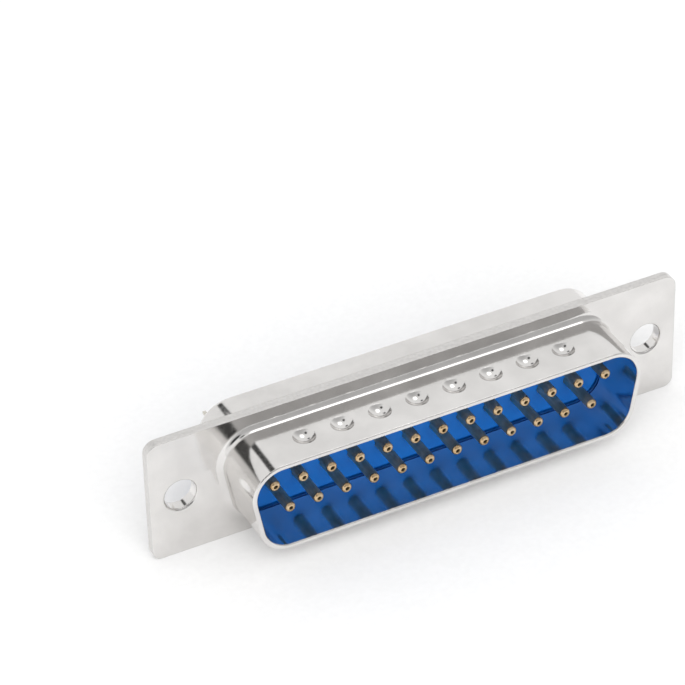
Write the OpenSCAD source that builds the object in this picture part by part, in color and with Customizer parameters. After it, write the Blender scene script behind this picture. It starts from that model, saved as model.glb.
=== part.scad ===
// D-subminiature plug, 25 contacts in two rows, with solder cups.
// Two drawn sheet shells are joined by collars rolled over at the mounting
// holes. They trap a pair of moulded insulators, which trap the contacts.
//
// Frame of the finished part: the origin is the centre of the flange's front
// face, X runs along the connector, -Y is the mating direction and +Z is the
// wide side of the D. Every module is drawn facing up, with X along the
// connector, Y towards the wide side and Z towards the mating side, and
// as_mounted() then turns it.

/* [Shells] */
// Thickness of the sheet that both shells are drawn from
sheet_t = 0.45; // [0.3:0.05:0.55]

/* [Flange] */
// Distance from the middle of a mounting hole to the end of the flange
ear_reach = 3; // [2.6:0.05:4]
// Height of the mounting flange
flange_h = 12.5; // [12.2:0.1:14]
// Corner radius of the flange beside the wide side of the D
flange_r_wide = 1.2; // [0.5:0.1:2.5]
// Corner radius of the flange beside the narrow side of the D
flange_r_narrow = 0.9; // [0.5:0.1:2.5]

/* [Hood round the pins] */
// Distance from the last contact in the wide row to the hood's inside end, at
// the square corner
hood_end_room = 2.92; // [2.7:0.02:3.2]
// Distance from a row of contacts to the hood's inside
hood_side_room = 2.76; // [2.6:0.02:2.9]
// Inside corner radius of the hood
hood_r = 2.6; // [2:0.1:3.2]
// Height of the hood's rim above the flange
hood_depth = 6; // [5:0.1:7]
// Outside radius of the bend between hood and flange
hood_bend_r = 0.7; // [0.4:0.05:0.8]
// Bevel on both edges of the hood's rim
rim_bevel = 0.08; // [0.03:0.01:0.14]

/* [Grounding dimples] */
// Diameter of a dimple in the hood's outer face
dimple_d = 2.1; // [1.4:0.1:2.6]
// Depth of a dimple
dimple_depth = 0.5; // [0.2:0.05:0.6]
// Distance between dimples
dimple_pitch = 3.7; // [3.2:0.1:4]
// Height of the dimples above the flange
dimple_rise = 3.1; // [2.4:0.1:3.8]

/* [Mounting holes] */
// Distance from the hood's inside end to the middle of a mounting hole
hole_offset = 4.04; // [3.8:0.02:4.4]
// Diameter of a mounting hole
hole_d = 3.05; // [2.7:0.05:3.3]
// Radius of the drawn entry at the front of a mounting hole
hole_entry_r = 0.25; // [0.1:0.05:0.3]
// Wall of the collar that passes through the rear shell
collar_t = 0.32; // [0.3:0.02:0.4]
// Width of the collar's rolled edge on the rear shell
collar_roll_w = 0.4; // [0.25:0.05:0.5]
// Height of the collar's rolled edge
collar_roll_h = 0.4; // [0.3:0.05:0.6]

/* [Box behind the flange] */
// How far the box reaches past the hood's inside at each end
box_end_step = 1.17; // [1.05:0.01:1.3]
// How far the box reaches past the hood's inside at each side
box_side_step = 1.18; // [1.05:0.01:1.3]
// Outside corner radius of the box
box_r = 3.4; // [2.8:0.1:3.8]
// Distance from the flange's front face to the back of the box
box_depth = 4.5; // [4:0.1:5.5]
// Outside radius of the bend between box and flange
box_bend_r = 0.6; // [0.3:0.05:0.65]
// Inside radius of the bend between box and lip
lip_bend_r = 0.1; // [0.05:0.01:0.2]
// Flat width of the lip that holds the rear insulator
lip_w = 0.65; // [0.4:0.05:0.8]

/* [Insulators] */
// Clearance between the insulators and the shells
insulator_gap = 0.05; // [0.02:0.01:0.1]
// Height of the front insulator's face above the flange
face_rise = 0.25; // [0.1:0.05:0.5]
// Width of the groove between the front insulator's face and the hood
groove_w = 0.2; // [0.08:0.02:0.3]
// Depth of that groove
groove_depth = 0.5; // [0.3:0.05:0.6]
// Thickness of the front insulator's skin round the pins
face_skin = 0.1; // [0.06:0.01:0.12]
// Depth of the plane where the two insulators meet
split_depth = 2.2; // [1.8:0.1:2.6]
// How far the rear insulator stands out of the box
boss_rise = 0.6; // [0.3:0.1:1]
// Bevel round the rear insulator's face
boss_bevel = 0.15; // [0.05:0.05:0.25]

/* [Contacts] */
// Distance between contacts in a row
pitch = 2.76; // [2.7:0.01:2.82]
// Distance between the two rows
row_gap = 2.84; // [2.6:0.02:2.9]
// Diameter of a pin
pin_d = 1; // [0.9:0.02:1.1]
// Height of the pins' tips above the flange
pin_rise = 4.65; // [4:0.05:5.4]
// Diameter of the pin's neck inside the insulator
neck_d = 1.4; // [1.36:0.02:1.6]
// Diameter of the shoulder that the insulators trap
shoulder_d = 2.3; // [2.2:0.02:2.4]
// Thickness of the shoulder
shoulder_t = 0.8; // [0.5:0.05:1]
// Outside diameter of a solder cup
cup_d = 1.9; // [1.8:0.02:2]
// Bore of a solder cup
cup_bore_d = 1.25; // [1.1:0.02:1.35]
// How far a solder cup stands out of the rear insulator
cup_reach = 3.1; // [2.6:0.1:4]
// Length of the part of a solder cup that is cut open
cup_open_len = 2.3; // [1.6:0.1:2.4]
// Depth of the bore in a solder cup
cup_bore_depth = 3.5; // [3:0.1:4]
// Clearance round a contact in its insulator, on the radius
contact_gap = 0.03; // [0.01:0.01:0.05]

/* [Hidden] */
// Slope of the short sides of every D outline, in degrees. Its sine and cosine
// are short decimals, so that straight runs and arcs meet without a gap.
side_slope = 10.247;
lap = 0.01;

wide_row = 13;
contacts = 2 * wide_row - 1;

// contact_01 is at the left end of the wide row as seen from the mating side
function contact_name(i) = str("contact_", i < 10 ? "0" : "", i);

$fn = 64;

tin = "#d6d6d2";
blue = "#1464b9";
gold = "#d9b36a";

// A D outline is [half its length at the wide side, half its height, corner
// radius]. grown() moves the whole outline outwards and keeps its arc centres.
function grown(d, by) = [
    d[0] + by * (1 + sin(side_slope)) / cos(side_slope),
    d[1] + by,
    d[2] + by
];

hood_len = (wide_row - 1) * pitch + 2 * hood_end_room;
hood_h = row_gap + 2 * hood_side_room;
hole_spacing = hood_len + 2 * hole_offset;
flange_len = hole_spacing + 2 * ear_reach;

hood_in = [hood_len / 2, hood_h / 2, hood_r];
box_out = [hood_len / 2 + box_end_step, hood_h / 2 + box_side_step, box_r];
box_in = grown(box_out, -sheet_t);
lip_edge = grown(box_in, -lip_bend_r - lip_w);

hood_bend_out = hood_bend_r + sheet_t;
box_bend_out = box_bend_r + sheet_t;
lip_bend_out = lip_bend_r + sheet_t;

// Depths below the flange's front face, as heights in the drawing position
seam = -sheet_t;
flange_back = -2 * sheet_t;
lip_back = -box_depth;
lip_front = lip_back + sheet_t;
split = -split_depth;
boss_face = lip_back - boss_rise;
cup_mouth = boss_face - cup_reach;
skin_low = face_rise - face_skin;
neck_end = skin_low - contact_gap;

hole_r = hole_d / 2;
collar_out_r = hole_r + collar_t;
collar_fit = 0.02;
roll_r = 0.18;
collar_end = flange_back - collar_roll_h;

// A dimple is a ball pressed into the sheet
dimple_r = (pow(dimple_d / 2, 2) + pow(dimple_depth, 2)) / (2 * dimple_depth);
dimples = 8;

tip_r = 0.3;
tip_hollow_d = 0.44;
tip_hollow_depth = 0.3;
cup_cut_slope = 30;

// --- Shared shapes -------------------------------------------------------

// Turns a piece from its drawing position into the part's frame
module as_mounted() {
    rotate([90, 0, 0]) children();
}

// A quarter of a disc in the upper right of the origin
module quarter(r) {
    intersection() {
        circle(r);
        square(r);
    }
}

// A quarter of a ring, the section of a bent sheet
module bend(inner_r, outer_r) {
    difference() {
        quarter(outer_r);
        circle(inner_r);
    }
}

// Arc centres of a D on its +X side, at the wide side and the narrow side
function d_corners(d) = [
    [d[0] - d[2] * (1 + sin(side_slope)) / cos(side_slope), d[1] - d[2]],
    [
        d[0] - 2 * d[1] * tan(side_slope)
            - d[2] * (1 - sin(side_slope)) / cos(side_slope),
        d[2] - d[1]
    ]
];

// A section drawn outwards from the path, carried straight along +X
module run(length) {
    rotate([90, 0, 90]) linear_extrude(length) children();
}

// The same section carried round an arc that turns right from +X
module turn(angle) {
    rotate_extrude(angle = angle, start = 90 - angle) children();
}

// Half of swept_round(): each run or arc is drawn where the last one ends
module swept_half(d) {
    corners = d_corners(d);
    side = norm(corners[1] - corners[0]);
    translate([0, corners[0].y]) {
        run(corners[0].x) children();
        translate([corners[0].x, 0]) {
            turn(90 + side_slope) children();
            rotate(-90 - side_slope) {
                run(side) children();
                translate([side, 0]) {
                    turn(90 - side_slope) children();
                    rotate(side_slope - 90)
                        run(corners[1].x + lap) children();
                }
            }
        }
    }
}

// A section swept once round a D outline: the section's X is measured
// outwards from the outline and its Y becomes the height
module swept_round(d) {
    for (side = [0, 1])
        mirror([side, 0])
            swept_half(d)
                translate([d[2], 0]) children();
}

// A solid with a D outline between two heights, its lower edge bevelled: a
// swept band, and a core with square corners that reaches half way into it
module d_block(d, low, high, bevel = 0) {
    band = 0.9 * d[2];
    core = grown(d, -d[2] / 2);
    narrow_half = core[0] - 2 * core[1] * tan(side_slope);
    foot = bevel > 0 ? [[-bevel, low], [0, low + bevel]] : [[0, low]];
    swept_round(d)
        polygon(concat([[-band, high], [-band, low]], foot, [[0, high]]));
    translate([0, 0, low])
        linear_extrude(high - low)
            polygon([
                [-core[0], core[1]],
                [core[0], core[1]],
                [narrow_half, -core[1]],
                [-narrow_half, -core[1]]
            ]);
}

// The flange's outline, with its own corner radius on each long side
module flange_outline() {
    length_wide = flange_len - 2 * flange_r_wide;
    length_narrow = flange_len - 2 * flange_r_narrow;
    side_h = flange_h - flange_r_wide - flange_r_narrow;
    translate([-flange_len / 2, flange_r_narrow - flange_h / 2])
        square([flange_len, side_h]);
    translate([-length_wide / 2, flange_h / 2 - flange_r_wide])
        square([length_wide, flange_r_wide]);
    translate([-length_narrow / 2, -flange_h / 2])
        square([length_narrow, flange_r_narrow]);
    for (side = [0, 1])
        mirror([side, 0]) {
            translate([length_wide / 2, flange_h / 2 - flange_r_wide])
                quarter(flange_r_wide);
            translate([length_narrow / 2, flange_r_narrow - flange_h / 2])
                rotate(-90) quarter(flange_r_narrow);
        }
}

module at_holes() {
    for (side = [-1, 1])
        translate([side * hole_spacing / 2, 0]) children();
}

// --- Shells --------------------------------------------------------------

module hood() {
    swept_round(hood_in)
        translate([hood_bend_out, hood_bend_r])
            rotate(180) bend(hood_bend_r, hood_bend_out);
    swept_round(hood_in)
        polygon([
            [0, hood_bend_r],
            [sheet_t, hood_bend_r],
            [sheet_t, hood_depth - rim_bevel],
            [sheet_t - rim_bevel, hood_depth],
            [rim_bevel, hood_depth],
            [0, hood_depth - rim_bevel]
        ]);
}

// The collar drawn out of the front sheet, its edge rolled over the rear one
module collar() {
    barrel_low = collar_end + roll_r;
    roll_x = collar_out_r + collar_roll_w - roll_r;
    rotate_extrude() {
        translate([hole_r + hole_entry_r, -hole_entry_r])
            rotate(90) quarter(hole_entry_r);
        translate([hole_r + hole_entry_r, -hole_entry_r])
            square([collar_t - hole_entry_r, hole_entry_r]);
        translate([hole_r, barrel_low])
            square([collar_t, -hole_entry_r - barrel_low]);
        translate([hole_r + roll_r, barrel_low])
            rotate(180) quarter(roll_r);
        translate([hole_r + roll_r, collar_end])
            square([roll_x - hole_r - roll_r, roll_r]);
        translate([roll_x, barrel_low])
            rotate(-90) quarter(roll_r);
        translate([collar_out_r, barrel_low])
            square([collar_roll_w, flange_back - barrel_low]);
    }
}

// Places children on the outer face of the hood's wide side
module at_dimples() {
    for (i = [0 : dimples - 1])
        translate([
            (i - (dimples - 1) / 2) * dimple_pitch,
            hood_h / 2 + sheet_t,
            dimple_rise
        ])
            children();
}

module dimple_back() {
    intersection() {
        translate([0, dimple_r - dimple_depth]) sphere(dimple_r + sheet_t);
        translate([-dimple_d, -2 * dimple_d - sheet_t / 2, -dimple_d])
            cube(2 * dimple_d);
    }
}

module front_shell() {
    color(tin) as_mounted()
        difference() {
            union() {
                difference() {
                    translate([0, 0, seam])
                        linear_extrude(sheet_t) flange_outline();
                    d_block(grown(hood_in, hood_bend_out), 2 * seam, sheet_t);
                    at_holes()
                        translate([0, 0, 2 * seam])
                            cylinder(r = collar_out_r, h = 4 * sheet_t);
                }
                hood();
                at_holes() collar();
                at_dimples() dimple_back();
            }
            at_dimples()
                translate([0, dimple_r - dimple_depth]) sphere(dimple_r);
        }
}

module box() {
    wall_low = lip_front + lip_bend_r;
    wall_high = flange_back - box_bend_r;
    swept_round(box_in)
        translate([box_bend_out, wall_high])
            rotate(90) bend(box_bend_r, box_bend_out);
    swept_round(box_in)
        translate([0, wall_low])
            square([sheet_t, wall_high - wall_low]);
    swept_round(box_in)
        translate([-lip_bend_r, wall_low])
            rotate(-90) bend(lip_bend_r, lip_bend_out);
    swept_round(box_in)
        translate([-lip_bend_r - lip_w, lip_back])
            square([lip_w, sheet_t]);
}

module rear_shell() {
    color(tin) as_mounted()
        union() {
            difference() {
                translate([0, 0, flange_back])
                    linear_extrude(sheet_t) flange_outline();
                d_block(grown(box_in, box_bend_out), 2 * flange_back, sheet_t);
                at_holes()
                    translate([0, 0, 2 * flange_back])
                        cylinder(r = collar_out_r + collar_fit, h = 4 * sheet_t);
            }
            box();
        }
}

// --- Insulators ----------------------------------------------------------

function contact_at(i) = i <= wide_row
    ? [(i - (wide_row + 1) / 2) * pitch, row_gap / 2]
    : [(i - wide_row - wide_row / 2) * pitch, -row_gap / 2];

module at_contacts() {
    for (i = [1 : contacts])
        translate(contact_at(i)) children();
}

// Fills the box in front of the split and follows the hood's bend, with a
// groove between its face and the hood
module front_insulator() {
    color(blue) as_mounted()
        difference() {
            d_block(grown(box_in, -insulator_gap), split, face_rise);
            swept_round(hood_in)
                translate([hood_bend_out, hood_bend_r])
                    circle(hood_bend_out + insulator_gap);
            swept_round(hood_in)
                translate([-groove_w, face_rise - groove_depth])
                    square([groove_w + hood_bend_out, 2 * groove_depth]);
            at_contacts()
                translate([0, 0, 2 * split]) {
                    cylinder(d = pin_d + 2 * contact_gap, h = 4 * split_depth);
                    cylinder(d = neck_d + 2 * contact_gap, h = skin_low - 2 * split);
                    cylinder(
                        d = shoulder_d + 2 * contact_gap,
                        h = split_depth + shoulder_t
                    );
                }
        }
}

// Fills the box behind the split and stands out through the lip
module rear_insulator() {
    body = grown(box_in, -insulator_gap);
    boss = grown(lip_edge, -insulator_gap);
    color(blue) as_mounted()
        difference() {
            union() {
                d_block(body, lip_front, split, lip_bend_r);
                d_block(boss, boss_face, lip_front + sheet_t, boss_bevel);
            }
            at_contacts()
                translate([0, 0, 2 * boss_face])
                    cylinder(d = cup_d + 2 * contact_gap, h = -4 * boss_face);
        }
}

// --- Contacts ------------------------------------------------------------

// Half the section of a contact, from the axis outwards
module contact_section() {
    pin_r = pin_d / 2;
    neck_low = split + shoulder_t;
    translate([0, neck_low])
        square([neck_d / 2, neck_end - neck_low]);
    translate([0, neck_end])
        square([pin_r, pin_rise - tip_r - neck_end]);
    translate([0, pin_rise - tip_r])
        square([pin_r - tip_r, tip_r]);
    translate([pin_r - tip_r, pin_rise - tip_r])
        quarter(tip_r);
    translate([0, split])
        square([shoulder_d / 2, shoulder_t]);
    translate([0, cup_mouth])
        square([cup_d / 2, split - cup_mouth]);
}

// A contact with its cup open towards +Y
module contact_body() {
    bore_r = cup_bore_d / 2;
    bore_floor = cup_mouth + cup_bore_depth;
    open_from = cup_mouth + cup_open_len;
    difference() {
        rotate_extrude() contact_section();
        translate([0, 0, pin_rise - tip_hollow_depth])
            cylinder(r1 = 0, r2 = tip_hollow_d, h = 2 * tip_hollow_depth);
        translate([0, 0, 2 * cup_mouth])
            cylinder(r = bore_r, h = bore_floor - 2 * cup_mouth);
        translate([0, 0, bore_floor])
            cylinder(r1 = bore_r, r2 = 0, h = bore_r * tan(cup_cut_slope));
        translate([-cup_d, 0, 2 * cup_mouth])
            cube([2 * cup_d, cup_d, open_from - 2 * cup_mouth]);
    }
}

// The cups of the wide row open towards the wide side, the others away from it
module contact(i) {
    color(gold) as_mounted()
        translate(contact_at(i))
            mirror([0, i <= wide_row ? 0 : 1]) contact_body();
}

front_shell();
rear_shell();
front_insulator();
rear_insulator();
for (i = [1 : contacts])
    contact(i);
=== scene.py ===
"""Looks for a 25-way D-subminiature plug: tin-plated shells, blue insulators, gold pins."""

import math

import bmesh
import bpy
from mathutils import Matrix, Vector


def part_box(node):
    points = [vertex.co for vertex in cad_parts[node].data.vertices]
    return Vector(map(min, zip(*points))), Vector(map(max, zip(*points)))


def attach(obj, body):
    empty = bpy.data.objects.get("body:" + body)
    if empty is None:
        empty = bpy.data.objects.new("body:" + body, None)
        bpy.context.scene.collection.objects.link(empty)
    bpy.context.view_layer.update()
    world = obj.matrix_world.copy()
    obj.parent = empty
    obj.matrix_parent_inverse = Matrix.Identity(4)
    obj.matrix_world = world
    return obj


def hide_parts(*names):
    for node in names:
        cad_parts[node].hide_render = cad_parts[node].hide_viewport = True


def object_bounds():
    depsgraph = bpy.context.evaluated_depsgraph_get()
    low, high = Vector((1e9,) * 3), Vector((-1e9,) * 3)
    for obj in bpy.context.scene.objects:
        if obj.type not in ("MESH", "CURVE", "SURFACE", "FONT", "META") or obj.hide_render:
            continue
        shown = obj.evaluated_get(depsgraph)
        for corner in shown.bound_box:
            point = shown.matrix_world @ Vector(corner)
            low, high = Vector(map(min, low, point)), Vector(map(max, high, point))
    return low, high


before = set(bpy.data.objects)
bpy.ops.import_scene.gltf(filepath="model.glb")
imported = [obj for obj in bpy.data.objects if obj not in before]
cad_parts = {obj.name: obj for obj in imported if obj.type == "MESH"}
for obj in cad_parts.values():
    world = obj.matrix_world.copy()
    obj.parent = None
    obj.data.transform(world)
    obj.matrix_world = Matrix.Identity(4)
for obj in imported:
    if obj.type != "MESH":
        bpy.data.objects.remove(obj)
cad_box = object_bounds()

MM = 0.001
SHELLS = ("front_shell", "rear_shell")
INSULATORS = ("front_insulator", "rear_insulator")
CONTACTS = sorted(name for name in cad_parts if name.startswith("contact_"))

# Parts of the room: a direction, its inner and outer angle in degrees, and how
# much brighter or darker the room is there. Metal mirrors the room's dim front,
# the dark camera, dark gaps between the reflectors and a soft box overhead.
MIRRORED = (
    ((0.3, -0.8, 0.45), 15, 75, 0.55),
    ((-0.48, -0.70, 0.53), 13, 20, 0.02),
    ((-0.11, 0.70, 0.706), 5, 9, 0.05),
    ((-0.32, -0.18, 0.93), 7, 11, 0.05),
    ((0.28, 0.02, 0.96), 9, 18, 1.9),
)
# The wide soft light in front that reaches into the hood
LIGHT = (
    ((-0.3, -0.8, 0.5), 10, 50, 3.6),
)

MIRRORED_LEVEL = 0.93
LIGHT_LEVEL = 0.8

# Corners of a mesh closer than this are one, and edges sharper than this stay
MERGE_GAP = 0.0002 * MM
CREASE = math.radians(28)
# How far the light runs round an edge of the sheet
EDGE_ROUND = 0.12 * MM

# Zones, as places in a piece's list of materials
SHEET, CUT = range(2)
# The bore and mouth zones carry painted shade for the hollows in the cup and in the pin's mouth
PIN, CUP, BORE_SHADE, MOUTH_SHADE, TIP = range(5)
# A face stands across the sheet when its normal's Y is smaller than this
UPRIGHT = 0.1

# The screw holes, and a radius that lies outside their collars
HOLE_PLACE = 23.52 * MM
HOLE_ROOM = 2.0 * MM
# Depths behind the flange's front face
FLANGE_BACK = 0.9 * MM
INSULATOR_SPLIT = 2.2 * MM
CUP_FLOOR = 4.6 * MM
CUP_BORE_RADIUS = 0.64 * MM
# The rounded end of a pin and the hollow in it, whose dark colour is painted shade
TIP_LENGTH = 0.31 * MM
MOUTH_RADIUS = 0.19 * MM


# --- Colours and nodes -------------------------------------------------------

def linear(code):
    """An sRGB hex colour as linear red, green, blue and full alpha."""
    parts = [int(code[i:i + 2], 16) / 255 for i in (1, 3, 5)]
    return [c / 12.92 if c <= 0.04045 else ((c + 0.055) / 1.055) ** 2.4 for c in parts] + [1.0]


def add(tree, kind, inputs=None, **settings):
    """Adds a node, with its settings, and its sockets set or linked."""
    made = tree.nodes.new(kind)
    for name, value in settings.items():
        setattr(made, name, value)
    for key, value in (inputs or {}).items():
        if isinstance(value, bpy.types.NodeSocket):
            tree.links.new(value, made.inputs[key])
        else:
            made.inputs[key].default_value = value
    return made


def new_material(name):
    """A material with a shader and an output, and the tree that holds them."""
    material = bpy.data.materials.new(name)
    material.use_nodes = True
    tree = material.node_tree
    tree.nodes.clear()
    shader = add(tree, "ShaderNodeBsdfPrincipled")
    add(tree, "ShaderNodeOutputMaterial", {"Surface": shader.outputs["BSDF"]})
    return material, tree, shader


def follow(tree, shader, pattern, places, codes, rough_pattern=None, rough=None):
    """Lets patterns drive the base colour, between two sRGB codes at two places of
    the pattern, and the roughness, between two values."""
    colour = add(tree, "ShaderNodeValToRGB", {"Fac": pattern})
    for element, place, code in zip(colour.color_ramp.elements, places, codes):
        element.position = place
        element.color = linear(code)
    tree.links.new(colour.outputs["Color"], shader.inputs["Base Color"])
    if rough:
        smooth, coarse = rough
        value = add(tree, "ShaderNodeMapRange", {
            "Value": rough_pattern, "From Min": 0.3, "From Max": 0.7,
            "To Min": smooth, "To Max": coarse})
        tree.links.new(value.outputs["Result"], shader.inputs["Roughness"])


# --- Materials ---------------------------------------------------------------

def tin_plated_steel():
    """Bright tin on deep-drawn steel sheet: near mirror, softened by the plating's
    grain, drawn coarser than it is so that it shows, and by the slight waves that
    drawing leaves in the sheet."""
    material, tree, shader = new_material("bright_tin_plated_drawn_steel")
    place = add(tree, "ShaderNodeTexCoord").outputs["Object"]
    mottle = add(tree, "ShaderNodeTexNoise", {"Vector": place, "Scale": 1 / (3.5 * MM), "Detail": 4.0})
    grain = add(tree, "ShaderNodeTexNoise", {"Vector": place, "Scale": 1 / (0.25 * MM), "Detail": 3.0})
    follow(tree, shader, mottle.outputs["Fac"], (0.35, 0.65), ("#dcdad8", "#e7e5e3"),
           grain.outputs["Fac"], (0.09, 0.16))
    waves = add(tree, "ShaderNodeTexNoise", {"Vector": place, "Scale": 1 / (5 * MM), "Detail": 1.0})
    edges = add(tree, "ShaderNodeBevel", {"Radius": EDGE_ROUND}, samples=6)
    sheet = add(tree, "ShaderNodeBump", {
        "Height": waves.outputs["Fac"], "Strength": 1.0, "Distance": 0.05 * MM,
        "Normal": edges.outputs["Normal"]})
    skin = add(tree, "ShaderNodeBump", {
        "Height": grain.outputs["Fac"], "Strength": 1.0, "Distance": 0.0012 * MM,
        "Normal": sheet.outputs["Normal"]})
    tree.links.new(skin.outputs["Normal"], shader.inputs["Normal"])
    shader.inputs["Metallic"].default_value = 1.0
    return material


def sheared_edge():
    """The sheet's cut edge: the same plating over the marks of the shear, so it
    blurs what it mirrors."""
    material, tree, shader = new_material("sheared_and_plated_sheet_edge")
    place = add(tree, "ShaderNodeTexCoord").outputs["Object"]
    marks = add(tree, "ShaderNodeTexNoise", {"Vector": place, "Scale": 1 / (0.3 * MM), "Detail": 3.0})
    follow(tree, shader, marks.outputs["Fac"], (0.3, 0.7), ("#cfcdcb", "#dedcda"),
           marks.outputs["Fac"], (0.36, 0.5))
    edges = add(tree, "ShaderNodeBevel", {"Radius": EDGE_ROUND}, samples=6)
    skin = add(tree, "ShaderNodeBump", {
        "Height": marks.outputs["Fac"], "Strength": 1.0, "Distance": 0.006 * MM,
        "Normal": edges.outputs["Normal"]})
    tree.links.new(skin.outputs["Normal"], shader.inputs["Normal"])
    shader.inputs["Metallic"].default_value = 1.0
    return material


def moulded_polyester():
    """Glass-filled polyester, injection moulded: a strong blue whose fibres leave a
    satin skin, their pattern drawn coarser than it is so that it shows."""
    material, tree, shader = new_material("moulded_glass_filled_polyester")
    place = add(tree, "ShaderNodeTexCoord").outputs["Object"]
    flow = add(tree, "ShaderNodeTexNoise", {"Vector": place, "Scale": 1 / (4 * MM), "Detail": 3.0})
    fibres = add(tree, "ShaderNodeTexNoise", {"Vector": place, "Scale": 1 / (0.2 * MM), "Detail": 2.0})
    follow(tree, shader, flow.outputs["Fac"], (0.3, 0.7), ("#0c6ac8", "#1072d2"),
           fibres.outputs["Fac"], (0.34, 0.46))
    skin = add(tree, "ShaderNodeBump", {
        "Height": fibres.outputs["Fac"], "Strength": 1.0, "Distance": 0.004 * MM})
    tree.links.new(skin.outputs["Normal"], shader.inputs["Normal"])
    shader.inputs["IOR"].default_value = 1.55
    shader.inputs["Specular IOR Level"].default_value = 0.35
    return material


def contact_metal(name, codes, rough):
    """Turned brass with a plated skin: its colour drifts a little along the pin, and
    the tool's rings show, drawn coarser than they are so that they can be seen."""
    material, tree, shader = new_material(name)
    place = add(tree, "ShaderNodeTexCoord").outputs["Object"]
    tarnish = add(tree, "ShaderNodeTexNoise", {"Vector": place, "Scale": 1 / (0.9 * MM), "Detail": 3.0})
    turning = add(tree, "ShaderNodeTexWave", {
        "Vector": place, "Scale": 1 / (3 * MM), "Distortion": 0.6, "Detail": 1.0}, bands_direction="Y")
    follow(tree, shader, tarnish.outputs["Fac"], (0.35, 0.65), codes,
           tarnish.outputs["Fac"], rough)
    rings = add(tree, "ShaderNodeBump", {
        "Height": turning.outputs["Fac"], "Strength": 1.0, "Distance": 0.002 * MM})
    tree.links.new(rings.outputs["Normal"], shader.inputs["Normal"])
    shader.inputs["Metallic"].default_value = 1.0
    return material


# --- Pieces ------------------------------------------------------------------

def finished(node, suffix, materials, zone=None):
    """A copy of a CAD node with joined faces, soft bends and crisp cut edges."""
    work = bmesh.new()
    work.from_mesh(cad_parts[node].data)
    bmesh.ops.remove_doubles(work, verts=work.verts, dist=MERGE_GAP)
    for face in work.faces:
        face.smooth = True
        face.material_index = zone(face) if zone else 0
    for edge in work.edges:
        if len(edge.link_faces) == 2:
            edge.smooth = edge.calc_face_angle() < CREASE
    mesh = bpy.data.meshes.new(f"{node}_{suffix}")
    work.to_mesh(mesh)
    work.free()
    if "custom_normal" in mesh.attributes:
        mesh.attributes.remove(mesh.attributes["custom_normal"])
    for material in materials:
        mesh.materials.append(material)
    piece = bpy.data.objects.new(mesh.name, mesh)
    bpy.context.scene.collection.objects.link(piece)
    shading = piece.modifiers.new("even_shading", "WEIGHTED_NORMAL")
    shading.keep_sharp = True
    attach(piece, "root")
    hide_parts(node)
    return piece


def shell_zone(face):
    """SHEET on the drawn sheet and CUT on the flanges' outer edges."""
    centre = face.calc_center_median()
    across = 0 < centre.y < FLANGE_BACK and abs(face.normal.y) < UPRIGHT
    beside_hole = math.hypot(abs(centre.x) - HOLE_PLACE, centre.z) < HOLE_ROOM
    return CUT if across and not beside_hole else SHEET


def contact_zone(node):
    """A function that gives the zone of each face of this contact."""
    low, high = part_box(node)
    axis_x = (low.x + high.x) / 2
    axis_z = (low.z + high.z) / 2

    def zone(face):
        centre = face.calc_center_median()
        off = math.hypot(centre.x - axis_x, centre.z - axis_z)
        if centre.y < low.y + TIP_LENGTH:
            # Faces round the axis at the tip get the painted shade of the mouth's hollow
            return MOUTH_SHADE if off < MOUTH_RADIUS else TIP
        if centre.y < INSULATOR_SPLIT:
            return PIN
        # Faces inside the cup's bore get painted shade, a darker brown for the hollow
        return BORE_SHADE if centre.y > CUP_FLOOR and off < CUP_BORE_RADIUS else CUP

    return zone


# --- Stage -------------------------------------------------------------------

def floor():
    """A pale sheet that the connector stands on."""
    material, tree, shader = new_material("pale_paper_sweep")
    place = add(tree, "ShaderNodeTexCoord").outputs["Object"]
    fibre = add(tree, "ShaderNodeTexNoise", {"Vector": place, "Scale": 1 / (0.5 * MM), "Detail": 2.0})
    follow(tree, shader, fibre.outputs["Fac"], (0.3, 0.7), ("#f3f3f3", "#f6f6f6"))
    shader.inputs["Roughness"].default_value = 0.9
    shader.inputs["Specular IOR Level"].default_value = 0.1
    work = bmesh.new()
    bmesh.ops.create_circle(work, cap_ends=True, segments=64, radius=4.0)
    bmesh.ops.translate(work, verts=work.verts, vec=(0, 0, cad_box[0][2]))
    mesh = bpy.data.meshes.new("floor")
    work.to_mesh(mesh)
    work.free()
    mesh.materials.append(material)
    piece = bpy.data.objects.new("floor", mesh)
    bpy.context.scene.collection.objects.link(piece)


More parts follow.
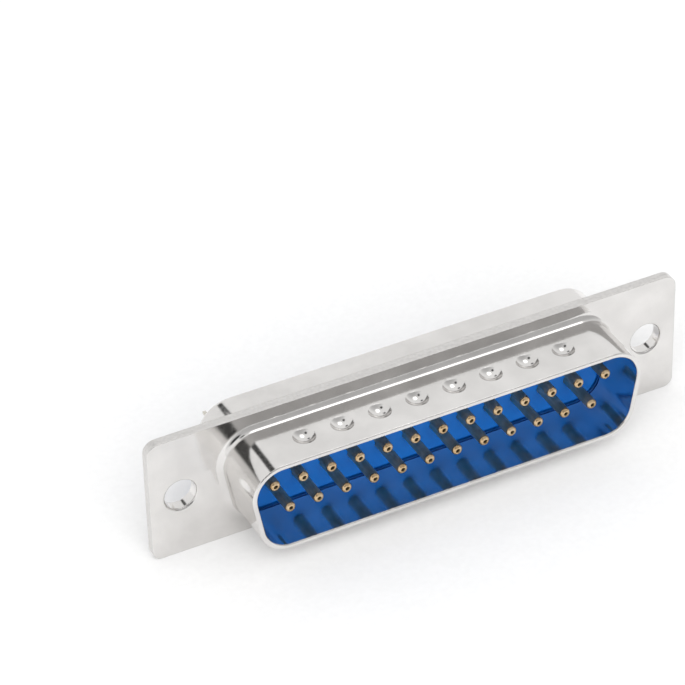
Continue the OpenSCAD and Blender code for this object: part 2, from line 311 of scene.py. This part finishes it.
def studio():
    """A white room with a soft light in front."""
    world = bpy.data.worlds.new("studio")
    bpy.context.scene.world = world
    world.use_nodes = True
    tree = world.node_tree
    tree.nodes.clear()
    way = add(tree, "ShaderNodeTexCoord").outputs["Generated"]
    white = linear("#ffffff")

    def near(direction, inner, outer):
        """1 within the inner angle of a direction, and 0 past the outer one."""
        length = math.sqrt(sum(x * x for x in direction))
        dot = add(tree, "ShaderNodeVectorMath", {0: way, 1: [x / length for x in direction]},
                  operation="DOT_PRODUCT")
        return add(tree, "ShaderNodeMapRange", {
            "Value": dot.outputs["Value"],
            "From Min": math.cos(math.radians(outer)),
            "From Max": math.cos(math.radians(inner)),
        }, interpolation_type="SMOOTHSTEP").outputs["Result"]

    def level(base, areas):
        """The base strength, times each area's change where it is near."""
        total = add(tree, "ShaderNodeValue").outputs[0]
        total.default_value = base
        for direction, inner, outer, change in areas:
            part = add(tree, "ShaderNodeMath", {
                0: near(direction, inner, outer), 1: change - 1, 2: 1.0}, operation="MULTIPLY_ADD")
            total = add(tree, "ShaderNodeMath", {0: total, 1: part.outputs[0]},
                        operation="MULTIPLY").outputs[0]
        return total

    mirrored = add(tree, "ShaderNodeBackground", {
        "Color": white, "Strength": level(MIRRORED_LEVEL, MIRRORED)})
    light = add(tree, "ShaderNodeBackground", {
        "Color": white, "Strength": level(LIGHT_LEVEL, LIGHT)})
    backdrop = add(tree, "ShaderNodeBackground", {"Color": white, "Strength": 1.0})
    rays = add(tree, "ShaderNodeLightPath").outputs
    lit = add(tree, "ShaderNodeMixShader", {
        0: rays["Is Glossy Ray"], 1: light.outputs[0], 2: mirrored.outputs[0]})
    mixed = add(tree, "ShaderNodeMixShader", {
        0: rays["Is Camera Ray"], 1: lit.outputs[0], 2: backdrop.outputs[0]})
    add(tree, "ShaderNodeOutputWorld", {"Surface": mixed.outputs[0]})


def lamp(name, place, aim, size, energy):
    """A square soft box at a place, facing a point."""
    data = bpy.data.lights.new(name, "AREA")
    data.size = size
    data.energy = energy
    made = bpy.data.objects.new(name, data)
    bpy.context.scene.collection.objects.link(made)
    made.location = place
    way = Vector(aim) - Vector(place)
    made.rotation_euler = way.to_track_quat("-Z", "Y").to_euler()


def camera():
    """A long lens above the pins, on the side of contact_01."""
    data = bpy.data.cameras.new("camera")
    data.sensor_width = 36
    data.lens = 187.8
    made = bpy.data.objects.new("camera", data)
    bpy.context.scene.collection.objects.link(made)
    made.location = (-0.117993, -0.223401, 0.194788)
    made.rotation_euler = [math.radians(a) for a in (53.545, 1.325, -27.304)]
    bpy.context.scene.camera = made


def build():
    shell = [tin_plated_steel(), sheared_edge()]
    plastic = [moulded_polyester()]
    # In the order of the contacts' zones
    contact = [
        contact_metal("flash_plated_brass_pin", ("#c8b592", "#d8c8aa"), (0.28, 0.38)),
        contact_metal("tin_plated_brass", ("#c9c5bb", "#dad7cf"), (0.14, 0.24)),
        # The cup's bore: a darker brown that is painted shade of the hollow inside the cup
        contact_metal("solder_cup_bore_painted_shade", ("#9a7a5c", "#b8a58c"), (0.25, 0.4)),
        # The pin's mouth: painted shade, a near black brown where the hollow lies in shade
        contact_metal("painted_shade_in_the_pin_mouth", ("#3c3426", "#5a4d38"), (0.35, 0.5)),
        contact_metal("gold_flashed_pin_tip", ("#cdae84", "#dfc8a6"), (0.22, 0.34)),
    ]
    for node in SHELLS:
        finished(node, "plated", shell, shell_zone)
    for node in INSULATORS:
        finished(node, "moulded", plastic)
    for node in CONTACTS:
        finished(node, "plated", contact, contact_zone(node))


build()
floor()
studio()
lamp("soft_box", (0.174, 0.012, 0.595), (0, 0, 0), 0.25, 0.15)
camera()
bpy.context.scene.view_settings.view_transform = "Standard"
